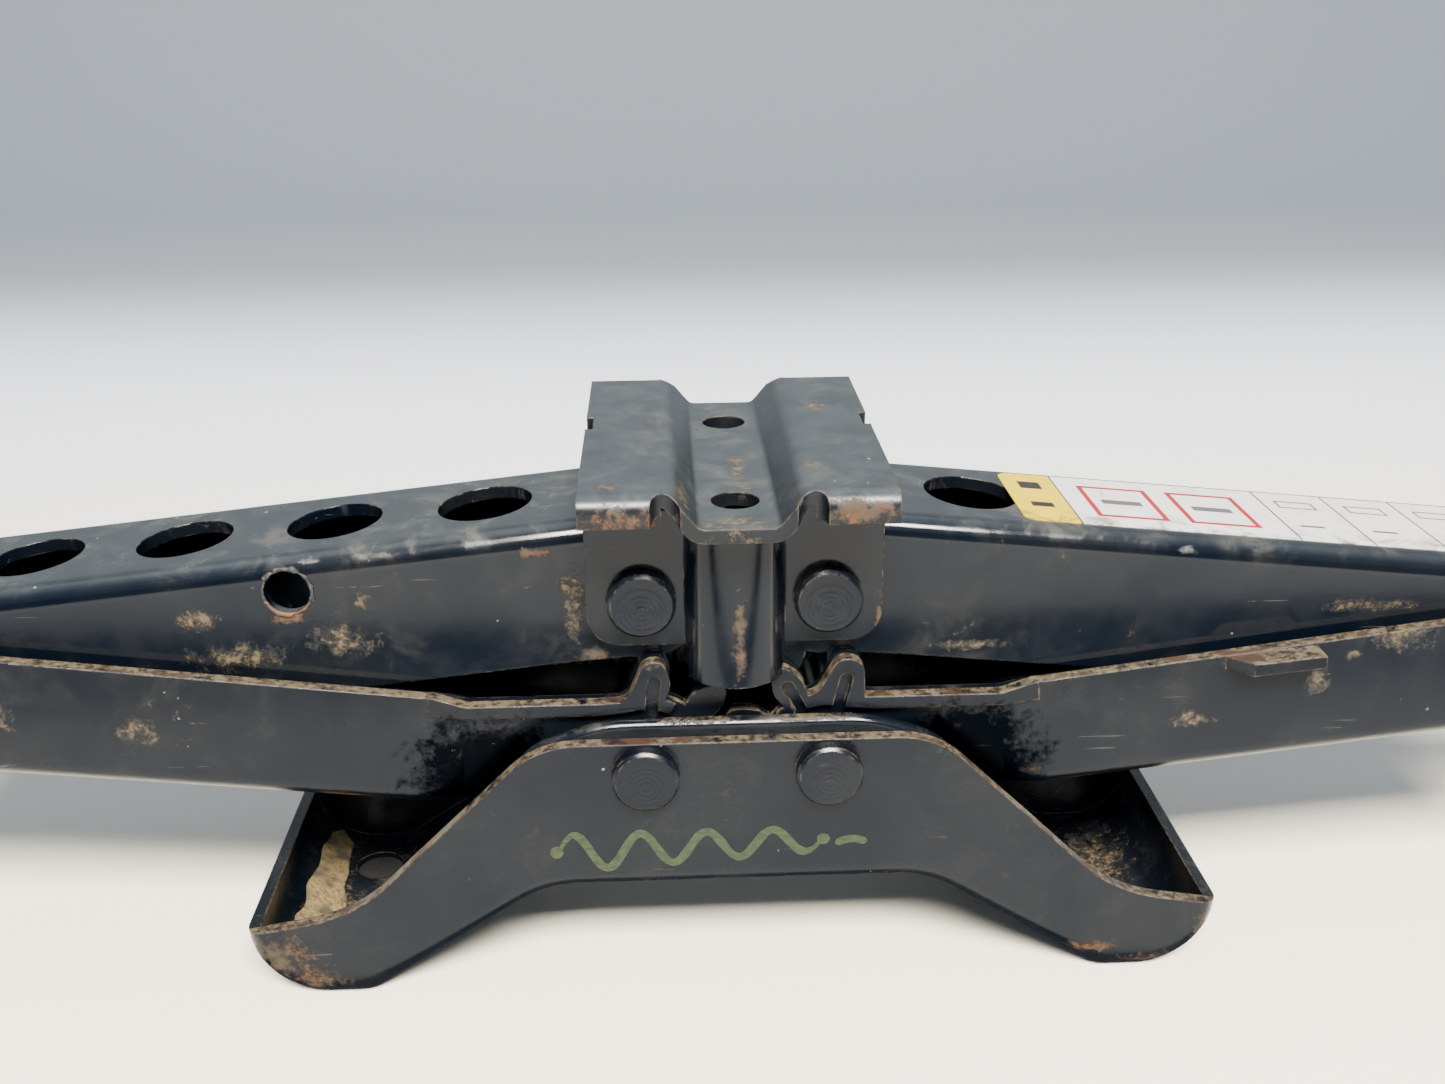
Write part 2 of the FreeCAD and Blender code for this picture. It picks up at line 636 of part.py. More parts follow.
def race(x0):
    plate = ring_x(KNEE_Z, SCREW_R + SEATED, RACE_R, x0, x0 + RACE_SHEET)
    track = Part.makeTorus(BALL_TRACK_R, BALL_R + 0.15, Vec(BALL_TRACK_X, 0, KNEE_Z), Vec(1, 0, 0))
    return plate.cut(track)


def ball_centres():
    angles = [2 * math.pi * k / BALLS for k in range(BALLS)]
    return [Vec(BALL_TRACK_X, BALL_TRACK_R * math.sin(a), KNEE_Z + BALL_TRACK_R * math.cos(a))
            for a in angles]


def bearing_balls():
    return Part.makeCompound([Part.makeSphere(BALL_R, centre) for centre in ball_centres()])


def bearing_cage():
    half = 0.4
    cage = ring_x(KNEE_Z, SCREW_R + 0.2, RACE_R - 0.1, BALL_TRACK_X - half, BALL_TRACK_X + half)
    for centre in ball_centres():
        cage = cage.cut(cyl(BALL_R + 0.1, centre - Vec(1, 0, 0), centre + Vec(1, 0, 0)))
    return cage


def lead_screw():
    shaft = cyl(SCREW_R, Vec(TAIL_X, 0, KNEE_Z), Vec(COLLAR_X + 1, 0, KNEE_Z))
    shaft = shaft.makeChamfer(1.2, [e for e in shaft.Edges if e.BoundBox.XMax < TAIL_X + 0.01])
    collar = cyl(COLLAR_R, Vec(COLLAR_X, 0, KNEE_Z), Vec(NECK_X, 0, KNEE_Z))
    return shaft.fuse(collar).cut(cyl_y(STOP_X, KNEE_Z, STOP_PIN_R + SEATED, -60, 60))


def drive_eye():
    """Flat forged eye on the end of the screw, for the crank's hook."""
    eye = cyl_y(EYE_X, KNEE_Z, EYE_R, -EYE_HALF_Y, EYE_HALF_Y)
    neck = box(NECK_X, EYE_X, -EYE_HALF_Y, EYE_HALF_Y, KNEE_Z - 7.5, KNEE_Z + 7.5)
    eye = eye.fuse(neck).removeSplitter()
    flat_edges = [e for e in eye.Edges if abs(abs(e.CenterOfMass.y) - EYE_HALF_Y) < 0.01]
    return eye.makeChamfer(0.8, flat_edges).cut(cyl_y(EYE_X, KNEE_Z, EYE_HOLE_R, -60, 60))


def stop_ring():
    half = STOP_LENGTH / 2
    ring = ring_x(KNEE_Z, SCREW_R + SEATED, STOP_R, STOP_X - half, STOP_X + half)
    return ring.cut(cyl_y(STOP_X, KNEE_Z, STOP_PIN_R + SEATED, -60, 60))


# --- make every piece ----------------------------------------------------------------------------
save("base_pan", base_pan())
stiffener = base_stiffener()
save("base_stiffener_front", stiffener)
save("base_stiffener_rear", mirrored_y(stiffener))

for name, side in (("left", -1), ("right", 1)):
    save("base_pin_" + name, pin(side * PIVOT_X, BASE_PIVOT_Z, BASE_HALF_Y))
    save("saddle_pin_" + name, pin(side * PIVOT_X, SADDLE_PIVOT_Z, CHEEK_Y))

lower_right = lower_arm(TEETH_RIGHT, FREE_RIGHT, RIMMED_RIGHT, holes_along(4))
lower_right = place_arm(lower_right, BASE_PIVOT_Z, ARM_ANGLE)
save("lower_arm_right", lower_right)
lower_left = mirrored_y(lower_arm(TEETH_LEFT, FREE_LEFT, RIMMED_LEFT, holes_along(4)))
save("lower_arm_left", mirrored_x(place_arm(lower_left, BASE_PIVOT_Z, ARM_ANGLE)))

side_hole_x, side_hole_z = SIDE_HOLE
upper_right = place_arm(upper_arm(TEETH_RIGHT, holes_along(1)), SADDLE_PIVOT_Z, -ARM_ANGLE)
upper_right = upper_right.cut(cyl_y(-side_hole_x, side_hole_z, SIDE_HOLE_R, 0, 60))
save("upper_arm_right", upper_right)
upper_left = mirrored_x(place_arm(upper_arm(TEETH_LEFT, holes_along(4)), SADDLE_PIVOT_Z, -ARM_ANGLE))
upper_left = upper_left.cut(cyl_y(side_hole_x, side_hole_z, SIDE_HOLE_R, -60, 0))
save("upper_arm_left", upper_left)
save("arm_label", place_arm(label(), SADDLE_PIVOT_Z, -ARM_ANGLE))

save("saddle_plate", saddle_plate())
save("saddle_bracket", saddle_bracket())

save("nut_trunnion", trunnion(-KNEE_X, SCREW_R + RUNNING))
save("thrust_trunnion", trunnion(KNEE_X, SCREW_R + RUNNING))
for name, side in (("left", -1), ("right", 1)):
    knee = side * KNEE_X
    save("knee_spacers_" + name, pair_of_rings(knee, AXLE_R + SEATED, WASHER_R, SPACER_Y))
    save("knee_washers_" + name, pair_of_rings(knee, AXLE_R + SEATED, WASHER_R, WASHER_Y))
    save("knee_clips_" + name, clip_pair(knee))

save("bearing_race_fixed", race(FIXED_RACE_X))
save("bearing_race_turning", race(TURNING_RACE_X))
save("bearing_balls", bearing_balls())
save("bearing_cage", bearing_cage())

save("lead_screw", lead_screw())
save("drive_eye", drive_eye())
save("screw_stop_ring", stop_ring())
save("screw_stop_pin", cyl_y(STOP_X, KNEE_Z, STOP_PIN_R, -STOP_R, STOP_R))
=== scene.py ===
import math
from types import SimpleNamespace

import bmesh
import bpy
from mathutils import Matrix, Vector, noise


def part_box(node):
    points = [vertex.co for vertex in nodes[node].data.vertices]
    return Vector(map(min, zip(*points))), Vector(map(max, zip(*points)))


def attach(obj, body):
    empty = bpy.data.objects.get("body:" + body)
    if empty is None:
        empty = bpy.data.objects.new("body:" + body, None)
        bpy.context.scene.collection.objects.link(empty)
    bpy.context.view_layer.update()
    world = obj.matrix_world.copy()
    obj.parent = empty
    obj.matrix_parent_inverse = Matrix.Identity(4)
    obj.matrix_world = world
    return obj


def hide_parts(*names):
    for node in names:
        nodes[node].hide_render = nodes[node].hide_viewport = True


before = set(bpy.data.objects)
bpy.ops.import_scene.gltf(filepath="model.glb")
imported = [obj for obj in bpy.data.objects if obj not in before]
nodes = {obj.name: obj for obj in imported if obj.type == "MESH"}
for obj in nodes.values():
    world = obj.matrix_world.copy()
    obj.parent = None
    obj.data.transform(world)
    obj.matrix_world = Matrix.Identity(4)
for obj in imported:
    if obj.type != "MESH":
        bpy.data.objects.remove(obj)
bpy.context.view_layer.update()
MM = 0.001


# --- shader building blocks ---------------------------------------------------------------
class Shader:
    """A material's node tree, with short calls for the nodes used here."""

    def __init__(self, name):
        self.material = bpy.data.materials.new(name)
        self.material.use_nodes = True
        self.tree = self.material.node_tree
        self.tree.nodes.clear()
        self.output = self.node("ShaderNodeOutputMaterial")
        self.principled = self.node("ShaderNodeBsdfPrincipled")
        self.link(self.principled.outputs[0], self.output.inputs["Surface"])
        coords = self.node("ShaderNodeTexCoord")
        self.coords = coords.outputs["Object"]
        place = self.node("ShaderNodeSeparateXYZ")
        self.link(self.coords, place.inputs[0])
        self.x, self.y, self.z = place.outputs
        facing = self.node("ShaderNodeSeparateXYZ")
        self.link(coords.outputs["Normal"], facing.inputs[0])
        self.facing_x, self.facing_y, self.facing_z = facing.outputs

    def node(self, kind, **settings):
        made = self.tree.nodes.new(kind)
        for key, value in settings.items():
            setattr(made, key, value)
        return made

    def link(self, source, target):
        self.tree.links.new(source, target)

    def feed(self, socket, value):
        if isinstance(value, bpy.types.NodeSocket):
            self.link(value, socket)
        elif isinstance(value, tuple) and len(value) == 3 and socket.type == "RGBA":
            socket.default_value = value + (1.0,)
        else:
            socket.default_value = value

    def math(self, operation, first, second=0.0, clamp=False):
        made = self.node("ShaderNodeMath", operation=operation, use_clamp=clamp)
        self.feed(made.inputs[0], first)
        self.feed(made.inputs[1], second)
        return made.outputs[0]

    def times(self, *factors):
        total = factors[0]
        for factor in factors[1:]:
            total = self.math("MULTIPLY", total, factor)
        return total

    def either(self, *masks):
        total = masks[0]
        for mask in masks[1:]:
            total = self.math("MAXIMUM", total, mask)
        return total

    def stretch(self, scale, offset=(0.0, 0.0, 0.0)):
        made = self.node("ShaderNodeMapping")
        self.link(self.coords, made.inputs["Vector"])
        made.inputs["Scale"].default_value = scale
        made.inputs["Location"].default_value = offset
        return made.outputs[0]

    def noise(self, size_mm, detail=4.0, rough=0.55, vector=None, distortion=0.0):
        made = self.node("ShaderNodeTexNoise")
        self.link(vector or self.coords, made.inputs["Vector"])
        made.inputs["Scale"].default_value = 1.0 / (size_mm * MM)
        made.inputs["Detail"].default_value = detail
        made.inputs["Roughness"].default_value = rough
        made.inputs["Distortion"].default_value = distortion
        return made.outputs[0]

    def dots(self, cell_mm, radius_mm, vector=None):
        """Small round specks, one at most in each cell."""
        made = self.node("ShaderNodeTexVoronoi")
        self.link(vector or self.coords, made.inputs["Vector"])
        made.inputs["Scale"].default_value = 1.0 / (cell_mm * MM)
        made.inputs["Randomness"].default_value = 1.0
        reach = radius_mm / cell_mm
        return self.step(made.outputs["Distance"], reach, reach * 0.5)

    def step(self, value, low, high, out_low=0.0, out_high=1.0):
        made = self.node("ShaderNodeMapRange", interpolation_type="SMOOTHSTEP")
        if low > high:
            low, high, out_low, out_high = high, low, out_high, out_low
        self.feed(made.inputs["Value"], value)
        for socket, number in zip(made.inputs[1:5], (low, high, out_low, out_high)):
            socket.default_value = number
        return made.outputs[0]

    def mix(self, amount, first, second):
        made = self.node("ShaderNodeMix", data_type="RGBA")
        self.feed(made.inputs["Factor"], amount)
        self.feed(made.inputs[6], first)
        self.feed(made.inputs[7], second)
        return made.outputs[2]

    def blend(self, amount, first, second):
        made = self.node("ShaderNodeMix", data_type="FLOAT")
        self.feed(made.inputs["Factor"], amount)
        self.feed(made.inputs[2], first)
        self.feed(made.inputs[3], second)
        return made.outputs[0]

    def spot(self, centre_mm, size_mm):
        """1 at the middle of an ellipsoid in the part's frame, 0 on it and less outside."""
        moved = self.node("ShaderNodeVectorMath", operation="SUBTRACT")
        self.link(self.coords, moved.inputs[0])
        moved.inputs[1].default_value = [c * MM for c in centre_mm]
        scaled = self.node("ShaderNodeVectorMath", operation="DIVIDE")
        self.link(moved.outputs[0], scaled.inputs[0])
        scaled.inputs[1].default_value = [s * MM for s in size_mm]
        length = self.node("ShaderNodeVectorMath", operation="LENGTH")
        self.link(scaled.outputs[0], length.inputs[0])
        return self.math("SUBTRACT", 1.0, length.outputs["Value"])

    def patches(self, places, ragged, fine, spread=0.26):
        """Crumbly patches that thin out away from the middle of each place."""
        near = self.either(*[self.spot(centre, size) for centre, size in places])
        broken = self.math("ADD", self.times(ragged, 0.6), self.times(fine, 0.4))
        return self.step(self.math("ADD", broken, self.times(near, spread)), 0.58, 0.76)

    def rectangle(self, x0, x1, y0, y1, soft_mm=0.12):
        """1 inside a rectangle of the XY plane, millimetres."""
        inside_x = self.times(self.step(self.x, (x0 - soft_mm) * MM, (x0 + soft_mm) * MM),
                              self.step(self.x, (x1 + soft_mm) * MM, (x1 - soft_mm) * MM))
        inside_y = self.times(self.step(self.y, (y0 - soft_mm) * MM, (y0 + soft_mm) * MM),
                              self.step(self.y, (y1 + soft_mm) * MM, (y1 - soft_mm) * MM))
        return self.times(inside_x, inside_y)

    def rounded_normal(self, radius_mm):
        made = self.node("ShaderNodeBevel", samples=4)
        made.inputs["Radius"].default_value = radius_mm * MM
        return made.outputs[0]

    def edges(self, rounded, low=0.01, high=0.12):
        """1 on sharp edges, from how far the rounded normal turns from the true one."""
        true_normal = self.node("ShaderNodeNewGeometry").outputs["Normal"]
        dot = self.node("ShaderNodeVectorMath", operation="DOT_PRODUCT")
        self.link(rounded, dot.inputs[0])
        self.link(true_normal, dot.inputs[1])
        return self.step(self.math("SUBTRACT", 1.0, dot.outputs["Value"]), low, high)

    def bump(self, height, strength, distance_mm, normal=None):
        made = self.node("ShaderNodeBump")
        self.link(height, made.inputs["Height"])
        made.inputs["Strength"].default_value = strength
        made.inputs["Distance"].default_value = distance_mm * MM
        if normal is not None:
            self.link(normal, made.inputs["Normal"])
        self.link(made.outputs[0], self.principled.inputs["Normal"])

    def set(self, **values):
        for key, value in values.items():
            self.feed(self.principled.inputs[key.replace("_", " ")], value)


# --- colours ---------------------------------------------------------------------------------
PAINT_DEEP = (0.0010, 0.0021, 0.0042)
PAINT_WORN = (0.0034, 0.0042, 0.0054)
PAINT_IOR = 1.41
DUST = (0.058, 0.054, 0.046)
HAZE = (0.046, 0.055, 0.059)
GRIT = (0.060, 0.048, 0.032)
SCRATCH = (0.045, 0.043, 0.039)
SPECK = (0.17, 0.16, 0.135)
MUD_PALE = (0.088, 0.062, 0.030)
MUD_MID = (0.038, 0.027, 0.014)
# dark mud tone, also used as painted shade in the left foot's drain hole
DARK_MUD_AND_SHADE = (0.012, 0.009, 0.005)
CRUST_PALE = (0.17, 0.118, 0.042)
CRUST_DARK = (0.060, 0.041, 0.015)
# painted shade for the ground seen through the left foot's drain hole
DRAIN_SHADE_DARK = (0.0012, 0.0014, 0.0018)
RUST_BRIGHT = (0.088, 0.030, 0.006)
RUST_MID = (0.034, 0.015, 0.006)
RUST_DARK = (0.010, 0.005, 0.003)
BARE = (0.105, 0.080, 0.046)
TORN_METAL = (0.05, 0.045, 0.035)
GREASE = (0.05, 0.038, 0.025)
SCUFF = (0.03, 0.03, 0.03)
DARK_CARD = (0.005, 0.011, 0.022)
GREY_CARD = (0.36, 0.36, 0.35)


# --- black paint and what lies on it ----------------------------------------------------------
def paint_noises(s, seed):
    """Noises that the layers of one coat share, moved by the seed so that no two coats match."""
    moved = s.stretch((1, 1, 1), (seed, seed * 0.7, -seed))
    return SimpleNamespace(seed=seed, moved=moved,
                           broad=s.noise(30, 3, 0.5, moved),
                           mottled=s.noise(8, 6, 0.66, moved, 0.5),
                           fine=s.noise(1.4, 6, 0.72, moved),
                           ragged=s.noise(5.5, 9, 0.72, moved, 0.7))


def dust_film(s, n, film, haze):
    """Colour of the paint under settled dust and haze, and the mask of both."""
    colour = s.mix(s.step(n.broad, 0.38, 0.66), PAINT_DEEP, PAINT_WORN)
    settled = s.step(s.facing_z, 0.35, 0.95, 0.10, 1.0)
    dusty = s.times(s.step(n.mottled, 0.47, 0.70), s.step(n.broad, 0.36, 0.60), settled, film)
    hazed = s.times(s.step(n.mottled, 0.1, 0.8, 0.4, 1.0), s.step(s.facing_z, 0.5, 0.95), haze)
    colour = s.mix(hazed, colour, HAZE)
    colour = s.mix(dusty, colour, DUST)
    return colour, s.either(dusty, hazed)


def grit_and_scratches(s, n, colour, film):
    """Colour with grit, scratches along X and pale specks, and the mask of grit and specks."""
    grain = s.times(s.step(n.ragged, 0.57, 0.66), s.step(n.fine, 0.50, 0.62),
                    s.step(n.broad, 0.47, 0.62), film)
    colour = s.mix(s.times(grain, 0.8), colour, GRIT)
    streaks = s.noise(1.0, 2, 0.5, s.stretch((0.035, 0.9, 1.2), (n.seed, 0, 0)), 0.35)
    scratched = s.times(s.step(streaks, 0.70, 0.74), s.step(n.mottled, 0.48, 0.58), 0.55)
    colour = s.mix(scratched, colour, SCRATCH)
    specks = s.times(s.dots(6.5, 0.42, n.moved), s.step(n.ragged, 0.52, 0.58))
    return s.mix(specks, colour, SPECK), s.either(grain, specks)


def worn_edges(s, n, rounded, wear, cut):
    """1 where the paint is gone: on sharp edges, and on cut sheet edges that face upwards."""
    patchy = s.step(s.noise(2.6, 5, 0.65, n.moved), 0.60 - 0.28 * wear, 0.70 - 0.24 * wear)
    worn = s.times(s.edges(rounded), patchy)
    if not cut:
        return worn
    from_y, facing = cut
    sheet_edge = s.times(s.step(s.math("ABSOLUTE", s.y), from_y * MM, (from_y + 0.15) * MM),
                         s.step(s.facing_z, facing, facing + 0.1),
                         s.step(s.noise(5.0, 7, 0.7, n.moved), 0.36, 0.50), 0.9)
    return s.either(worn, sheet_edge)


def bare_metal(s, n):
    colour = s.mix(s.step(n.fine, 0.38, 0.58), RUST_DARK, BARE)
    return s.mix(s.step(n.mottled, 0.50, 0.62), colour, RUST_MID)


def add_rust(s, n, places, colour, rough, height):
    mask = s.patches(places, n.ragged, n.fine)
    tone = s.mix(s.step(n.fine, 0.34, 0.64), RUST_DARK, RUST_BRIGHT)
    tone = s.mix(s.step(n.mottled, 0.42, 0.62), MUD_MID, tone)
    colour = s.mix(s.times(mask, 0.9), colour, tone)
    raised = s.math("ADD", height, s.times(mask, n.fine, 0.8))
    return colour, s.blend(mask, rough, 0.85), raised


def add_mud(s, n, places, colour, rough, height):
    mask = s.patches(places, n.ragged, n.fine)
    tone = s.mix(s.step(n.fine, 0.32, 0.62), MUD_MID, MUD_PALE)
    tone = s.mix(s.step(n.ragged, 0.44, 0.30), tone, DARK_MUD_AND_SHADE)
    cover = s.times(mask, s.step(n.fine, 0.40, 0.64, 0.12, 0.78))
    colour = s.mix(cover, colour, tone)
    raised = s.math("ADD", height, s.times(mask, s.math("ADD", 0.5, s.times(n.fine, 1.4))))
    return colour, s.blend(cover, rough, 0.95), raised


def paint(name, seed, mud=(), rust=(), painted_shade=(), film=0.5, wear=0.5, cut=None, haze=0.0, gloss=0.12):
    """Glossy black paint under dust, grit, scratches, worn edges, rust and dried mud, with patches of painted
    shade.

    mud and rust list places of dirt; the list after them gives places of painted shade, where the paint is
    dulled to black.
    Each place is (centre, half size). cut gives the least distance from the middle plane, in mm, and the least
    upward facing of a sheet edge that has lost its paint.
    """
    s = Shader(name)
    n = paint_noises(s, seed)
    rounded = s.rounded_normal(0.5)
    colour, dusty = dust_film(s, n, film, haze)
    colour, gritty = grit_and_scratches(s, n, colour, film)
    worn = worn_edges(s, n, rounded, wear, cut)
    colour = s.mix(s.times(worn, 0.85), colour, bare_metal(s, n))

    rough = s.step(n.mottled, 0.35, 0.75, gloss, gloss + 0.10)
    rough = s.blend(s.math("MULTIPLY", dusty, 0.8, clamp=True), rough, 0.55)
    rough = s.blend(s.either(worn, gritty), rough, 0.6)
    height = s.math("ADD", s.times(n.broad, 0.6), s.times(n.fine, 0.07))
    height = s.math("SUBTRACT", height, s.times(worn, 0.25))
    if rust:
        colour, rough, height = add_rust(s, n, rust, colour, rough, height)
    if mud:
        colour, rough, height = add_mud(s, n, mud, colour, rough, height)
    if painted_shade:
        # painted shade: a high metallic value over a near-black colour takes the shine off the paint, so these
        # patches read as black shade
        s.set(Metallic=s.times(s.patches(painted_shade, n.ragged, n.fine, 0.5), 0.97))
    s.set(Base_Color=colour, Roughness=rough, IOR=PAINT_IOR)
    s.bump(height, 0.4, 0.22, rounded)
    return s.material


def steel(name, dark, light, roughness, grime=0.3):
    """Bare or plated steel with fine grain, stains and dark grease."""
    s = Shader(name)
    grain = s.noise(0.9, 4, 0.6)
    stain = s.noise(6, 6, 0.65)
    colour = s.mix(s.step(grain, 0.3, 0.7), dark, light)
    colour = s.mix(s.times(s.step(stain, 0.48, 0.66), grime), colour, GREASE)
    rust = s.times(s.step(stain, 0.62, 0.72), s.step(grain, 0.45, 0.6))
    colour = s.mix(rust, colour, RUST_MID)
    s.set(Base_Color=colour, Metallic=0.9)
    s.set(Roughness=s.step(stain, 0.3, 0.7, roughness, roughness + 0.28))
    s.bump(grain, 0.25, 0.06, s.rounded_normal(0.25))
    return s.material


def assign(name, material):
    mesh = nodes[name].data
    mesh.materials.clear()
    mesh.materials.append(material)


# --- materials on the CAD nodes ---------------------------------------------------------------
# places of mud, rust and painted shade are ((centre), (half size)), millimetres in the part's frame
PAN_MUD = [((-84, -6, 3), (9, 20, 8)), ((-72, 8, 8), (9, 16, 10)), ((-66, 24, 22), (8, 3, 12)),
           ((80, 6, 3), (12, 20, 8)), ((66, 24, 20), (9, 3, 12))]
PAN_RUST = [((-89, -28, 9), (9, 5, 9)), ((-82, -28, 4), (9, 5, 5)), ((92, -27, 8), (4, 6, 8)),
            ((83, -28, 2.5), (12, 5, 3.2)), ((70, -28, 6), (8, 4, 2))]
CREST_MUD = [((-7, -24, 57.4), (15, 4, 0.8)), ((13, -24, 57.4), (13, 4, 0.7))]
LOWER_LEFT_MUD = [((-138, -22, 61), (8, 4, 6)), ((-110, -22, 57), (6, 3, 4)), ((-64, -22, 38.5), (9, 3, 1.5)),
                  ((-15, -20, 67), (3, 4, 2))]
# painted shade: the left lower arm's front is dulled to black where it lies in shade behind the base
LOWER_LEFT_PAINTED_SHADE = [((-47, -21, 45), (21, 7, 17))]
LOWER_RIGHT_MUD = [((124, -22, 70), (10, 4, 5)), ((110, -22, 61), (3.5, 3, 4)), ((116, -22, 66), (2.5, 3, 1.6)),
                   ((86, -22, 53), (7, 3, 2)), ((57, -22, 43), (3, 3, 2.2)), ((6, -20, 65.5), (4, 4, 2.5))]
# painted shade: the same black shade on the right lower arm
LOWER_RIGHT_PAINTED_SHADE = [((45, -21, 46), (20, 7, 17))]
UPPER_LEFT_MUD = [((-68, -17.5, 80), (3, 2, 2.6)), ((-98, -17.5, 77), (5, 2, 3)),
                  ((-72, -17.5, 72.5), (8, 2, 5)), ((-92, -17.5, 69), (13, 2, 4)),
                  ((-29.5, -17.5, 78), (3.2, 2, 11)), ((-77, -17.5, 88.2), (4, 3, 1.4))]
UPPER_LEFT_RUST = [((-36, -17.5, 88.7), (5.5, 2, 1.5)), ((-81, -17.5, 77), (5, 2, 1.8)),
                   ((-26, -17.5, 67.5), (4, 2, 3))]
UPPER_RIGHT_MUD = [((84, -17.5, 86), (2.6, 2, 1.2)), ((45, -17.5, 68), (9, 2, 1.4)),
                   ((120, -17.5, 74), (12, 2, 2))]
PLATE_MUD = [((1.5, -8, 100), (2.6, 18, 1.5)), ((14, -22, 106), (3, 4, 1)), ((18, 13, 106), (3, 6, 1)),
             ((0, -34, 99), (9, 5, 4)), ((-10, -30, 103), (3, 9, 4)), ((-22, -32, 106), (4, 3, 1))]
PLATE_RUST = [((-17, -37, 102), (15, 3, 3.6)), ((21, -37, 102.5), (11, 3, 4)), ((10, -36, 104), (4, 4, 2)),
              ((-15, 5, 106), (2.2, 1.6, 1)), ((26, -30, 105), (2, 10, 2)), ((-27, 3, 105), (1.5, 5, 2))]
BRACKET_RUST = [((0.6, -28.2, 76), (1.9, 1.8, 13)), ((26.6, -20.3, 76), (1.0, 2, 7))]


def finish_base():
    assign("base_pan", paint("base_paint", 0.3, mud=PAN_MUD, rust=PAN_RUST, film=0.35, wear=0.9,
                             cut=(25.4, 0.15), gloss=0.22))
    assign("base_stiffener_front", paint("stiffener_paint", 1.1, mud=CREST_MUD, wear=0.8, film=0.9))
    assign("base_stiffener_rear", paint("stiffener_paint_rear", 1.7, wear=0.8, film=0.9))


def finish_arms():
    lower = {"film": 0.55, "cut": (19.3, 0.3), "gloss": 0.2}
    assign("lower_arm_left", paint("lower_left_paint", 3.3, mud=LOWER_LEFT_MUD, painted_shade=LOWER_LEFT_PAINTED_SHADE,
                                   wear=0.6, **lower))
    assign("lower_arm_right", paint("lower_right_paint", 4.2, mud=LOWER_RIGHT_MUD, painted_shade=LOWER_RIGHT_PAINTED_SHADE,
                                    wear=0.75, **lower))
    upper = {"wear": 0.35, "gloss": 0.085}
    assign("upper_arm_left", paint("upper_left_paint", 5.6, mud=UPPER_LEFT_MUD, rust=UPPER_LEFT_RUST,
                                   film=0.8, haze=0.45, **upper))
    assign("upper_arm_right", paint("upper_right_paint", 6.4, mud=UPPER_RIGHT_MUD,
                                    film=0.7, haze=0.38, **upper))


def finish_saddle():
    assign("saddle_plate", paint("saddle_paint", 7.5, mud=PLATE_MUD, rust=PLATE_RUST, film=0.55, wear=0.8,
                                 haze=0.62, gloss=0.28))
    assign("saddle_bracket", paint("bracket_paint", 8.2, rust=BRACKET_RUST, film=0.4, wear=0.4, gloss=0.12))


def finish_running_gear():
    assign("nut_trunnion", paint("nut_block_paint", 9.0, film=0.9))
    assign("thrust_trunnion", paint("thrust_block_paint", 9.5, film=0.9))
    assign("drive_eye", paint("eye_paint", 10.0, wear=0.9))
    zinc = steel("dull_zinc", (0.34, 0.33, 0.30), (0.52, 0.50, 0.45), 0.38)
    for side in ("left", "right"):
        for kind in ("knee_spacers_", "knee_washers_", "knee_clips_"):
            assign(kind + side, zinc)
    assign("screw_stop_ring", zinc)
    assign("screw_stop_pin", zinc)
    ground = steel("ground_steel", (0.45, 0.45, 0.44), (0.6, 0.6, 0.58), 0.22, grime=0.6)
    for name in ("bearing_race_fixed", "bearing_race_turning", "bearing_balls", "bearing_cage"):
        assign(name, ground)


def finish_label():
    """Printed film with plain blocks and dividers: a generic layout with no signs or writing."""
    s = Shader("label_film")
    white = (0.52, 0.515, 0.475)
    yellow = (0.52, 0.36, 0.0)
    ink = (0.012, 0.012, 0.012)
    grey = (0.07, 0.07, 0.068)
    red = (0.26, 0.006, 0.012)
    x0, x1 = (corner[0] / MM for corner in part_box("arm_label"))
    band = x0 + 10.6
    colour = s.mix(s.rectangle(x0 - 1, band, -20, 20), white, yellow)
    colour = s.mix(s.rectangle(band, band + 0.35, -20, 20), colour, ink)
    prints = [(x0 + 3.2, x0 + 7.6, 4.5, 8.5, ink), (x0 + 3.2, x0 + 7.6, -5.5, -3.0, ink)]
    for k in range(2):
        left = band + 4.5 + 18 * k
        prints += [(left, left + 14, -8.5, 8.5, red), (left + 1.1, left + 12.9, -7.4, 7.4, white),
                   (left + 3, left + 11, -1.2, 1.2, grey)]
    for k in range(3):
        left = band + 42 + 14.5 * k
        prints += [(left, left + 0.4, -13, 13, ink), (left + 3, left + 11, 4.5, 8.5, grey),
                   (left + 3.5, left + 10.5, 5.1, 7.9, white), (left + 3, left + 8, -6, -5, grey)]
    for px0, px1, py0, py1, tone in prints:
        colour = s.mix(s.rectangle(px0, px1, py0, py1), colour, tone)
    ragged = s.noise(7, 9, 0.72, None, 0.6)
    fine = s.noise(1.2, 5, 0.7)
    towards_edge = s.step(s.y, -5 * MM, -13 * MM)
    smear = s.times(s.step(ragged, 0.46, 0.62), s.math("ADD", 0.12, s.times(towards_edge, 0.7)))
    colour = s.mix(smear, colour, s.mix(fine, MUD_MID, MUD_PALE))
    scuffs = s.times(s.step(ragged, 0.64, 0.68), s.step(fine, 0.5, 0.56))
    colour = s.mix(scuffs, colour, SCUFF)
    s.set(Base_Color=colour, Roughness=s.blend(smear, 0.42, 0.8), IOR=1.4)
    s.bump(s.math("ADD", s.times(ragged, 0.5), s.times(smear, fine)), 0.3, 0.15)
    assign("arm_label", s.material)


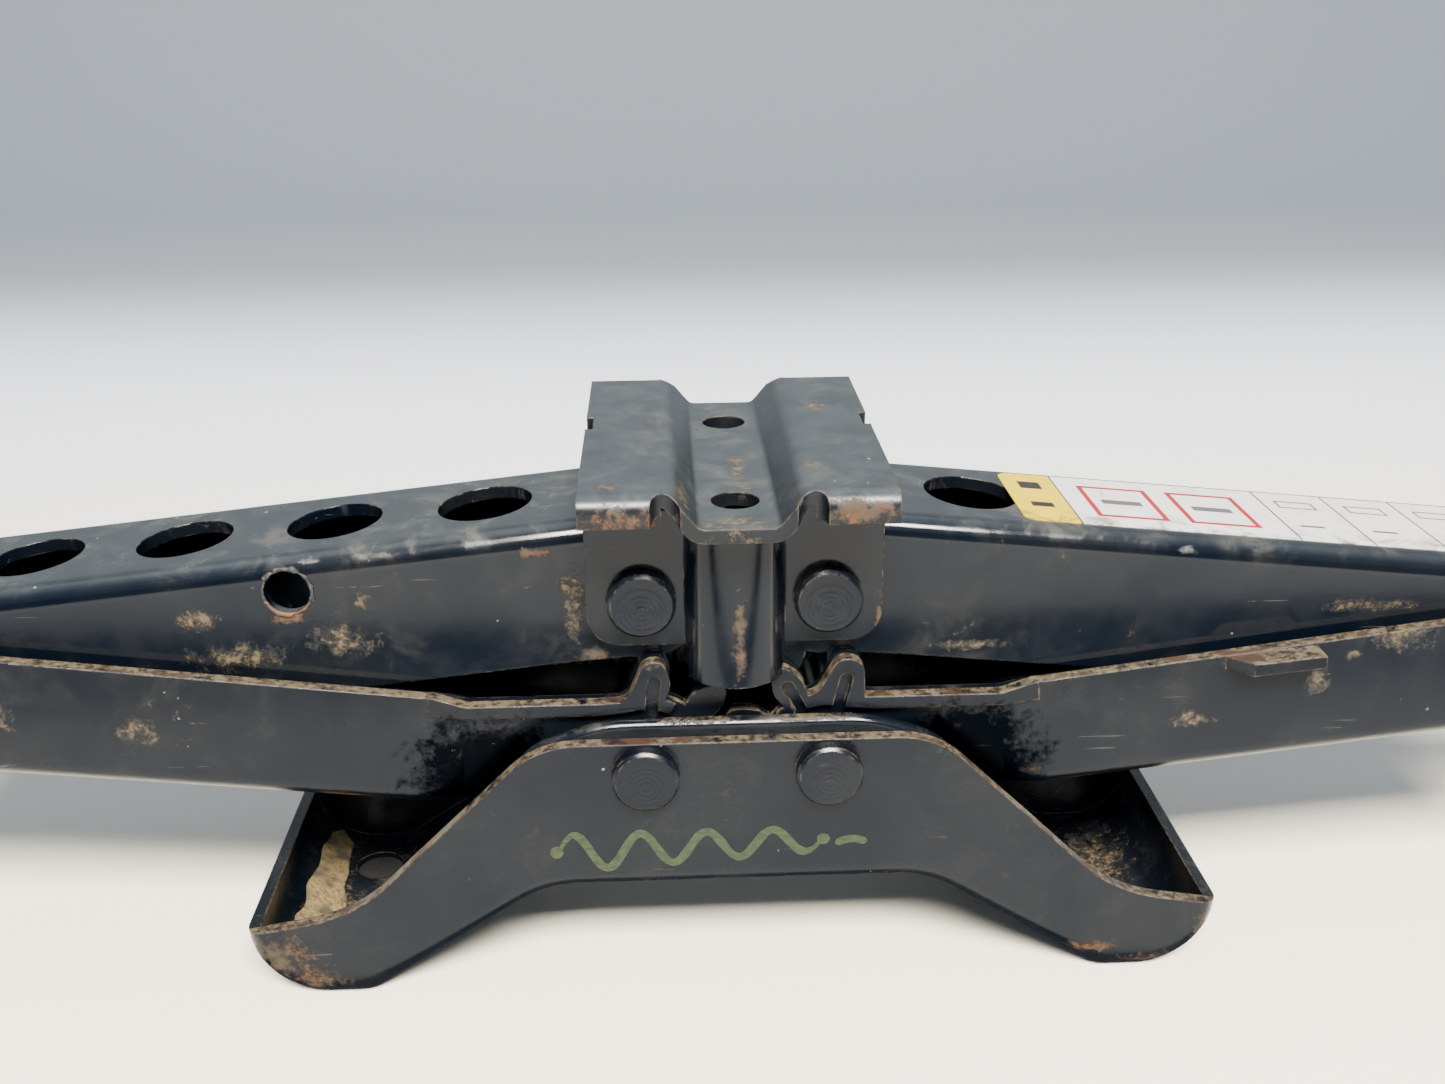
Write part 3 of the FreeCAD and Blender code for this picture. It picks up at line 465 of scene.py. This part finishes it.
# --- mesh pieces --------------------------------------------------------------------------------
def make_piece(name, bm, material, body, sharp_deg=35):
    mesh = bpy.data.meshes.new(name)
    bmesh.ops.remove_doubles(bm, verts=bm.verts, dist=0.2e-6)
    bmesh.ops.recalc_face_normals(bm, faces=bm.faces)
    for edge in bm.edges:
        if len(edge.link_faces) == 2:
            edge.smooth = edge.calc_face_angle(0) < math.radians(sharp_deg)
    for face in bm.faces:
        face.smooth = True
    bm.to_mesh(mesh)
    bm.free()
    thing = bpy.data.objects.new(name, mesh)
    bpy.context.scene.collection.objects.link(thing)
    mesh.materials.append(material)
    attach(thing, body)
    return thing


def lathe(bm, profile, centre, axis, segments):
    """Closed surface of revolution; the profile lists (radius, along) from one end to the other."""
    axis = Vector(axis)
    side = axis.orthogonal().normalized()
    other = axis.cross(side)
    rows = []
    for radius, along in profile:
        if radius < 1e-9:
            rows.append([bm.verts.new(centre + axis * along)])
            continue
        ring = []
        for k in range(segments):
            angle = 2 * math.pi * k / segments
            ring.append(bm.verts.new(centre + axis * along
                                     + (side * math.cos(angle) + other * math.sin(angle)) * radius))
        rows.append(ring)
    for low, high in zip(rows, rows[1:]):
        for k in range(segments):
            corners = [low[k % len(low)], low[(k + 1) % len(low)],
                       high[(k + 1) % len(high)], high[k % len(high)]]
            unique = []
            for corner in corners:
                if corner not in unique:
                    unique.append(corner)
            if len(unique) > 2:
                bm.faces.new(unique)
    return rows


PIN_CHAMFER_MM = 0.6
PIN_RING_PITCH_MM = 0.95
PIN_RING_DEPTH_MM = 0.14
PIN_RINGS_REACH_MM = 4.6
PIN_END_ROWS = 30


def turned_pin(node, body, material):
    """Riveted pin whose ends carry the rings that the riveting tool leaves."""
    low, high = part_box(node)
    centre = (Vector(low) + Vector(high)) / 2
    radius = (high[0] - low[0]) / 2
    half = (high[1] - low[1]) / 2
    chamfer = PIN_CHAMFER_MM * MM
    face = [(k * (radius - chamfer) / PIN_END_ROWS, -half) for k in range(PIN_END_ROWS + 1)]
    profile = face + [(radius, -half + chamfer), (radius, half - chamfer)]
    profile += [(r, half) for r, _ in reversed(face)]
    bm = bmesh.new()
    lathe(bm, profile, centre, (0, 1, 0), 96)
    rings_centre = Vector((centre.x, 0, centre.z - 1.1 * MM))
    for vert in bm.verts:
        on_end = abs(vert.co.y - centre.y) > half - 0.01 * MM
        if not on_end:
            continue
        away = (Vector((vert.co.x, 0, vert.co.z)) - rings_centre).length
        ring = 0.5 - 0.5 * math.cos(2 * math.pi * away / (PIN_RING_PITCH_MM * MM))
        fade = min(1.0, max(0.0, (PIN_RINGS_REACH_MM * MM - away) / (0.8 * MM)))
        sunk = (PIN_RING_DEPTH_MM * ring * fade + 0.05) * MM
        vert.co.y -= math.copysign(sunk, vert.co.y - centre.y)
    piece = make_piece(node + "_turned", bm, material, body)
    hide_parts(node)


SCREW_CREST, SCREW_ROOT, SCREW_PITCH = 5.95 * MM, 4.75 * MM, 2.5 * MM
THREAD = ((0.0, SCREW_ROOT), (0.22, SCREW_ROOT), (0.42, SCREW_CREST), (0.80, SCREW_CREST))
COLLAR_LENGTH_MM = 3.2


def thread_rows(bm, start, turns, centre_z, segments):
    """Rows of points that wind round X, one row for each corner of the thread in each turn."""
    per_turn = len(THREAD)
    rows = []
    for row in range(turns * per_turn + 1):
        share, radius = THREAD[row % per_turn]
        if row < per_turn or row > (turns - 1) * per_turn:
            radius = SCREW_ROOT
        ring = []
        for k in range(segments):
            angle = 2 * math.pi * k / segments
            x = start + (row // per_turn + share + k / segments) * SCREW_PITCH
            ring.append(bm.verts.new((x, radius * math.sin(angle), centre_z + radius * math.cos(angle))))
        rows.append(ring)
    return rows


def join_thread(bm, rows):
    """Faces between the rows; the end of each row meets the row one turn further on."""
    per_turn = len(THREAD)
    for row in range(len(rows) - 1):
        here, after = rows[row], rows[row + 1]
        for k in range(len(here) - 1):
            bm.faces.new((here[k], here[k + 1], after[k + 1], after[k]))
        if row + 1 + per_turn < len(rows):
            bm.faces.new((here[-1], rows[row + per_turn][0], rows[row + 1 + per_turn][0], after[-1]))


def close_thread(bm, rows):
    """Faces over the two open ends, each bordered by a row and a seam one turn long."""
    per_turn = len(THREAD)
    last = len(rows) - 1
    first_border = rows[0] + [rows[r][0] for r in range(per_turn, 0, -1)]
    last_border = rows[last] + [rows[r][-1] for r in range(last - 1, last - per_turn - 1, -1)]
    for border in (first_border, last_border):
        pairs = zip(border, border[1:] + border[:1])
        bmesh.ops.contextual_create(bm, geom=[bm.edges.get(pair) or bm.edges.new(pair) for pair in pairs])
    bmesh.ops.triangulate(bm, faces=[f for f in bm.faces if len(f.verts) > 4])


def threaded_screw(material):
    """Lead screw with a trapezoidal thread, its collar and its chamfered free end."""
    low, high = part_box("lead_screw")
    collar_r = (high[2] - low[2]) / 2
    centre_z = (high[2] + low[2]) / 2
    collar_x = high[0] - COLLAR_LENGTH_MM * MM
    start, stop = low[0] + 1.4 * MM, collar_x - 12.0 * MM
    core = SCREW_ROOT - 0.02 * MM
    bm = bmesh.new()
    rows = thread_rows(bm, start, int((stop - start) / SCREW_PITCH), centre_z, 36)
    join_thread(bm, rows)
    close_thread(bm, rows)
    free_end = [(0, low[0]), (SCREW_ROOT - 1.0 * MM, low[0]), (core, low[0] + 1.0 * MM),
                (core, start + 1.5 * SCREW_PITCH), (0, start + 1.5 * SCREW_PITCH)]
    collar_end = [(0, stop - 2.0 * SCREW_PITCH), (core, stop - 2.0 * SCREW_PITCH), (core, stop),
                  (SCREW_CREST, stop + 1 * MM), (SCREW_CREST, collar_x), (collar_r - 0.5 * MM, collar_x),
                  (collar_r, collar_x + 0.5 * MM), (collar_r, high[0] - 0.5 * MM),
                  (collar_r - 0.5 * MM, high[0]), (0, high[0])]
    for profile in (free_end, collar_end):
        lathe(bm, profile, Vector((0, 0, centre_z)), (1, 0, 0), 48)
    piece = make_piece("lead_screw_threaded", bm, material, "screw")
    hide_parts("lead_screw")


def ribbon(name, points, width, lift, material, disc=False):
    """Flat stroke on the base's front wall: even with tapered ends, or a disc."""
    bm = bmesh.new()
    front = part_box("base_pan")[0][1]
    count = len(points)
    sides = ([], [])
    for k, (x, z) in enumerate(points):
        before, after = points[max(k - 1, 0)], points[min(k + 1, count - 1)]
        along = Vector((after[0] - before[0], 0, after[1] - before[1])).normalized()
        across = Vector((-along.z, 0, along.x))
        share = k / (count - 1)
        half = width / 2 * min(1.0, 0.35 + 9 * share, 0.35 + 9 * (1 - share))
        if disc:
            half = width / 2 * max(0.12, math.sin(math.pi * share))
        half *= 1 + 0.18 * noise.noise(Vector((x * 0.4, 7.0, z * 0.4)))
        sides[0].append((Vector((x, 0, z)) + across * half) * MM)
        sides[1].append((Vector((x, 0, z)) - across * half) * MM)
    rows = []
    for depth in (0.0, lift):
        rows.append([[bm.verts.new((p.x, front - depth * MM, p.z)) for p in side] for side in sides])
    (left0, right0), (left1, right1) = rows
    for k in range(count - 1):
        bm.faces.new((left1[k], left1[k + 1], right1[k + 1], right1[k]))
        bm.faces.new((left0[k], right0[k], right0[k + 1], left0[k + 1]))
        bm.faces.new((left0[k], left0[k + 1], left1[k + 1], left1[k]))
        bm.faces.new((right0[k], right1[k], right1[k + 1], right0[k + 1]))
    for k in (0, count - 1):
        bm.faces.new((left0[k], left1[k], right1[k], right0[k]))
    return make_piece(name, bm, material, "base")


def marker_squiggle():
    """Plain hand-drawn wave in paint marker on the base, in place of any writing."""
    s = Shader("marker_ink")
    streak = s.noise(0.6, 4, 0.7, s.stretch((0.4, 1, 1.6)))
    broken = s.noise(3, 6, 0.7)
    colour = s.mix(s.step(streak, 0.35, 0.65), (0.009, 0.015, 0.005), (0.025, 0.037, 0.011))
    colour = s.mix(s.step(broken, 0.60, 0.70), colour, (0.010, 0.013, 0.007))
    s.set(Base_Color=colour, Roughness=0.45)
    s.bump(streak, 0.3, 0.1)
    wave = []
    for k in range(141):
        share = k / 140
        x = -34 + 50 * share
        z = 31.5 + (4.0 - 1.6 * share) * math.sin(2 * math.pi * 4.0 * share) + 1.5 * share
        wave.append((x, z))
    ribbon("marker_wave", wave, 1.7, 0.06, s.material)
    for number, (x, z) in enumerate(((-34.2, 31.8), (16.2, 33.1))):
        blob = [(x - 1.25 * math.cos(math.pi * k / 14), z) for k in range(15)]
        ribbon("marker_blob_%d" % number, blob, 2.6, 0.08, s.material, disc=True)
    dash = [(18.5 + 6.0 * k / 12, 32.0 + 0.9 * math.sin(k / 4)) for k in range(13)]
    ribbon("marker_dash", dash, 1.6, 0.06, s.material)


TORN_HOLE_MM = (-81.0, 0, 82.2)
TORN_HOLE_RADIUS_MM = 4.30
UPPER_WALL_Y_MM = -17.5


def hole_burr():
    """Torn rusty lip round the side hole of the left upper arm."""
    s = Shader("burr_rust")
    fine = s.noise(1.0, 6, 0.7)
    lower = s.step(s.z, 80.5 * MM, 78.8 * MM)
    tone = s.mix(s.step(fine, 0.35, 0.62), RUST_MID, RUST_BRIGHT)
    s.set(Base_Color=s.mix(lower, s.mix(s.step(fine, 0.5, 0.6), PAINT_WORN, TORN_METAL), tone))
    s.set(Roughness=0.65)
    s.bump(fine, 0.5, 0.2)
    centre = Vector(TORN_HOLE_MM) * MM
    front = UPPER_WALL_Y_MM * MM
    bm = bmesh.new()
    around, across = 72, 10
    rings = []
    for k in range(around):
        angle = 2 * math.pi * k / around
        out = Vector((math.cos(angle), 0, math.sin(angle)))
        wobble = noise.noise(Vector((2.6 * math.cos(angle), 2.6 * math.sin(angle), 3.0)))
        torn = noise.noise(Vector((7 * math.cos(angle), 7 * math.sin(angle), 8.0)))
        fat = max(0.16, 0.36 + 0.55 * wobble + 0.22 * torn) * MM
        middle = centre + out * (TORN_HOLE_RADIUS_MM * MM + 0.5 * fat + 0.12 * torn * MM)
        ring = []
        for j in range(across):
            turn = 2 * math.pi * j / across
            rough = 1 + 0.25 * noise.noise(Vector((k * 0.9, j * 0.8, 5.0)))
            ring.append(bm.verts.new(middle + out * (fat * rough * math.cos(turn))
                                     + Vector((0, front - 0.05 * MM + fat * 0.8 * rough * math.sin(turn), 0))))
        rings.append(ring)
    for k in range(around):
        for j in range(across):
            bm.faces.new((rings[k][j], rings[k][(j + 1) % across],
                          rings[(k + 1) % around][(j + 1) % across], rings[(k + 1) % around][j]))
    make_piece("side_hole_burr", bm, s.material, "upper_left", sharp_deg=80)


DRAIN_HOLE_MM = (-77, 13, 0.0)
PAN_FLOOR_MM = 2.5
RAY_FROM_MM = 13


def drain_shade_plug():
    """Painted shade: a near-black plug in the left foot's drain hole, for the shaded ground seen through it."""
    s = Shader("drain_hole_shade")
    fine = s.noise(1.3, 6, 0.7)
    s.set(Base_Color=s.mix(s.step(fine, 0.5, 0.7), DRAIN_SHADE_DARK, DARK_MUD_AND_SHADE), Roughness=0.9)
    s.bump(fine, 0.6, 0.3)
    centre = Vector(DRAIN_HOLE_MM) * MM
    bm = bmesh.new()
    plug = [(0, 0.1), (4.9, 0.1), (4.95, 0.5), (4.95, 1.35), (4.2, 1.1), (2.6, 0.85), (1.2, 0.95), (0, 0.8)]
    rows = lathe(bm, [(r * MM, along * MM) for r, along in plug], centre, (0, 0, 1), 48)
    for row in rows[3:7]:
        for vert in row:
            vert.co.z += 0.16 * MM * noise.noise(vert.co * 600)
    make_piece("drain_shade_plug", bm, s.material, "base", sharp_deg=60)


def surface_height(name):
    """Function that gives a node's height under a point, by a ray down from RAY_FROM_MM."""
    thing = nodes[name]
    inverse = thing.matrix_world.inverted()

    def height(x, y):
        start = inverse @ Vector((x * MM, y * MM, RAY_FROM_MM * MM))
        down = (inverse.to_3x3() @ Vector((0, 0, -1))).normalized()
        hit, place, _, _ = thing.ray_cast(start, down)
        return (thing.matrix_world @ place).z if hit else PAN_FLOOR_MM * MM
    return height


def crust_material():
    s = Shader("dried_mud")
    grit = s.noise(1.0, 7, 0.72)
    clump = s.noise(4.0, 6, 0.65)
    tone = s.mix(s.step(grit, 0.35, 0.62), CRUST_DARK, CRUST_PALE)
    s.set(Base_Color=s.mix(s.step(clump, 0.50, 0.64), tone, MUD_MID), Roughness=0.95)
    s.bump(grit, 0.8, 0.4)
    return s.material


def foot_mud():
    """Crust of dried mud that lies along the left foot's floor."""
    material = crust_material()
    floor = surface_height("base_pan")
    along_count, across_count = 60, 16
    bm = bmesh.new()
    top, bottom = [], []
    for i in range(along_count + 1):
        share = i / along_count
        y = -25.0 + 49 * share
        middle = -84.6 - 2.2 * share + 0.9 * noise.noise(Vector((2.1, share * 6, 0)))
        uneven = 1 + 0.35 * noise.noise(Vector((9.0, share * 7, 1)))
        half = (4.9 - 2.9 * share) * uneven * min(1, 14 * (1 - share) + 0.05)
        row_top, row_bottom = [], []
        for j in range(across_count + 1):
            side = 2 * j / across_count - 1
            x = max(middle + half * side, -90.6)
            ground = floor(x, y)
            rise = 0.75 * (1 - abs(side) ** 2.2) * (0.65 + 0.6 * noise.noise(Vector((x * 0.5, y * 0.5, 4.0))))
            rise = max(rise, 0.0) * min(1, 12 * share + 0.3) * min(1, 8 * (1 - share))
            row_top.append(bm.verts.new((x * MM, y * MM, ground + (0.03 + rise) * MM)))
            row_bottom.append(bm.verts.new((x * MM, y * MM, ground - 0.25 * MM)))
        top.append(row_top)
        bottom.append(row_bottom)
    for i in range(along_count):
        for j in range(across_count):
            bm.faces.new((top[i][j], top[i][j + 1], top[i + 1][j + 1], top[i + 1][j]))
            bm.faces.new((bottom[i][j], bottom[i + 1][j], bottom[i + 1][j + 1], bottom[i][j + 1]))
        for j in (0, across_count):
            bm.faces.new((top[i][j], top[i + 1][j], bottom[i + 1][j], bottom[i][j]))
    for i in (0, along_count):
        for j in range(across_count):
            bm.faces.new((top[i][j], bottom[i][j], bottom[i][j + 1], top[i][j + 1]))
    make_piece("foot_mud", bm, material, "base", sharp_deg=80)


# --- camera, floor and light -------------------------------------------------------------------
LENS_MM = 36.27
CAMERA_MM = (-12.2, -261.7, 188.7)
YAW, PITCH, ROLL = (math.radians(a) for a in (2.38, 22.0, -0.45))


def place_camera():
    data = bpy.data.cameras.new("camera")
    data.sensor_width = 36.0
    data.lens = LENS_MM
    data.clip_start = 0.01
    camera = bpy.data.objects.new("camera", data)
    bpy.context.scene.collection.objects.link(camera)
    forward = Vector((math.sin(YAW) * math.cos(PITCH), math.cos(YAW) * math.cos(PITCH), -math.sin(PITCH)))
    level = Vector((math.cos(YAW), -math.sin(YAW), 0))
    upright = level.cross(forward)
    right = level * math.cos(ROLL) + upright * math.sin(ROLL)
    up = upright * math.cos(ROLL) - level * math.sin(ROLL)
    turn = Matrix((right, up, -forward)).transposed()
    camera.matrix_world = Matrix.Translation(Vector(CAMERA_MM) * MM) @ turn.to_4x4()
    bpy.context.scene.camera = camera


FLOOR_FRONT_Y, FLOOR_BACK_Y = -1.6, 0.9
FLOOR_HALF_WIDTH = 3.5
BEND_RADIUS, WALL_TOP = 0.7, 3.5
BEND_STEPS = 16


def backdrop():
    """Pale floor that curves up into a wall behind the object, in metres, with painted shade that darkens it
    towards the back.
    """
    profile = [(FLOOR_FRONT_Y, 0.0), (FLOOR_BACK_Y, 0.0)]
    for k in range(1, BEND_STEPS + 1):
        angle = math.pi / 2 * k / BEND_STEPS
        profile.append((FLOOR_BACK_Y + BEND_RADIUS * math.sin(angle),
                        BEND_RADIUS - BEND_RADIUS * math.cos(angle)))
    profile.append((FLOOR_BACK_Y + BEND_RADIUS, WALL_TOP))
    bm = bmesh.new()
    sides = (-FLOOR_HALF_WIDTH, FLOOR_HALF_WIDTH)
    rows = [[bm.verts.new((x, y, z - 0.0001)) for y, z in profile] for x in sides]
    for k in range(len(profile) - 1):
        bm.faces.new((rows[0][k], rows[1][k], rows[1][k + 1], rows[0][k + 1]))
    mesh = bpy.data.meshes.new("backdrop")
    bm.to_mesh(mesh)
    bm.free()
    for polygon in mesh.polygons:
        polygon.use_smooth = True
    thing = bpy.data.objects.new("backdrop", mesh)
    bpy.context.scene.collection.objects.link(thing)
    s = Shader("backdrop_paper_and_falloff")
    # painted shade: the warm floor turns cool and pale further back, then dark bluish grey up the wall, for the
    # light falling off towards the back
    tone = s.mix(s.step(s.y, 0.02, 0.40), (0.78, 0.715, 0.575), (0.74, 0.76, 0.78))
    tone = s.mix(s.step(s.y, 0.36, 0.72), tone, (0.23, 0.255, 0.275))
    s.set(Base_Color=tone, Roughness=0.8)
    mesh.materials.append(s.material)


def area_light(name, place, target, size, power, colour):
    data = bpy.data.lights.new(name, "AREA")
    data.shape = "RECTANGLE"
    data.size, data.size_y = size
    data.energy = power
    data.color = colour
    lamp = bpy.data.objects.new(name, data)
    lamp.location = place
    lamp.rotation_euler = (Vector(target) - Vector(place)).to_track_quat("-Z", "Y").to_euler()
    bpy.context.scene.collection.objects.link(lamp)


def card(name, tone, corners):
    """Card that only glossy rays meet: the paint mirrors it, and it is in no view and casts no shadow."""
    bm = bmesh.new()
    bm.faces.new([bm.verts.new(corner) for corner in corners])
    mesh = bpy.data.meshes.new(name)
    bm.to_mesh(mesh)
    bm.free()
    thing = bpy.data.objects.new(name, mesh)
    bpy.context.scene.collection.objects.link(thing)
    s = Shader(name + "_card")
    s.set(Base_Color=tone, Roughness=0.9)
    mesh.materials.append(s.material)
    thing.visible_camera = False
    thing.visible_shadow = False
    thing.visible_diffuse = False
    thing.visible_transmission = False


def soft_sky():
    """Even room light, brighter overhead."""
    world = bpy.data.worlds.new("soft_sky")
    world.use_nodes = True
    tree = world.node_tree
    background = tree.nodes["Background"]
    direction = tree.nodes.new("ShaderNodeTexCoord").outputs["Generated"]
    split = tree.nodes.new("ShaderNodeSeparateXYZ")
    tree.links.new(direction, split.inputs[0])
    rise = tree.nodes.new("ShaderNodeMapRange")
    rise.interpolation_type = "SMOOTHSTEP"
    tree.links.new(split.outputs["Z"], rise.inputs["Value"])
    rise.inputs["From Min"].default_value = 0.22
    rise.inputs["From Max"].default_value = 0.62
    room = tree.nodes.new("ShaderNodeMix")
    room.data_type = "RGBA"
    tree.links.new(rise.outputs[0], room.inputs["Factor"])
    room.inputs[6].default_value = (0.19, 0.25, 0.37, 1)
    room.inputs[7].default_value = (0.40, 0.52, 0.75, 1)
    tree.links.new(room.outputs[2], background.inputs["Color"])
    bpy.context.scene.world = world


def reflection_cards():
    """Floor tones in front of the object, shade under its arch and a dark room, for the paint to mirror."""
    card("grey_floor_card", GREY_CARD, [(-1.2, -1.4, 0.0002), (1.2, -1.4, 0.0002),
                                        (1.2, -0.029, 0.0002), (-1.2, -0.029, 0.0002)])
    card("dark_floor_card", DARK_CARD, [(-0.7, -0.205, 0.0003), (0.0, -0.172, 0.0003), (0.7, -0.205, 0.0003),
                                        (0.7, -0.135, 0.0003), (0.0, -0.139, 0.0003), (-0.7, -0.135, 0.0003)])
    card("shade_under_card", DARK_CARD, [(-0.1, -0.033, 0.0004), (0.1, -0.033, 0.0004),
                                         (0.1, 0.03, 0.0004), (-0.1, 0.03, 0.0004)])
    card("room_card", DARK_CARD, [(-2.2, -1.5, 0.03), (2.2, -1.5, 0.03), (2.2, -1.5, 0.75), (-2.2, -1.5, 0.75)])


def lights():
    area_light("front_panel", (0.08, -0.95, 1.15), (0, 0, 0), (0.8, 0.35), 150, (1.0, 0.965, 0.90))
    area_light("ceiling_panel", (-0.2, 0.35, 1.5), (0, 0.1, 0), (1.5, 0.9), 6, (0.90, 0.95, 1.0))
    soft_sky()


# --- make everything ------------------------------------------------------------------------------
finish_base()
finish_arms()
finish_saddle()
finish_running_gear()
finish_label()

pin_material = paint("pin_paint_turned", 2.1, film=0.3, wear=0.3, gloss=0.24)
screw_material = steel("greased_screw", (0.22, 0.20, 0.17), (0.42, 0.39, 0.34), 0.32, grime=0.7)
for side in ("left", "right"):
    turned_pin("base_pin_" + side, "base", pin_material)
    turned_pin("saddle_pin_" + side, "saddle", pin_material)
threaded_screw(screw_material)
marker_squiggle()
hole_burr()
drain_shade_plug()
foot_mud()

place_camera()
backdrop()
reflection_cards()
lights()
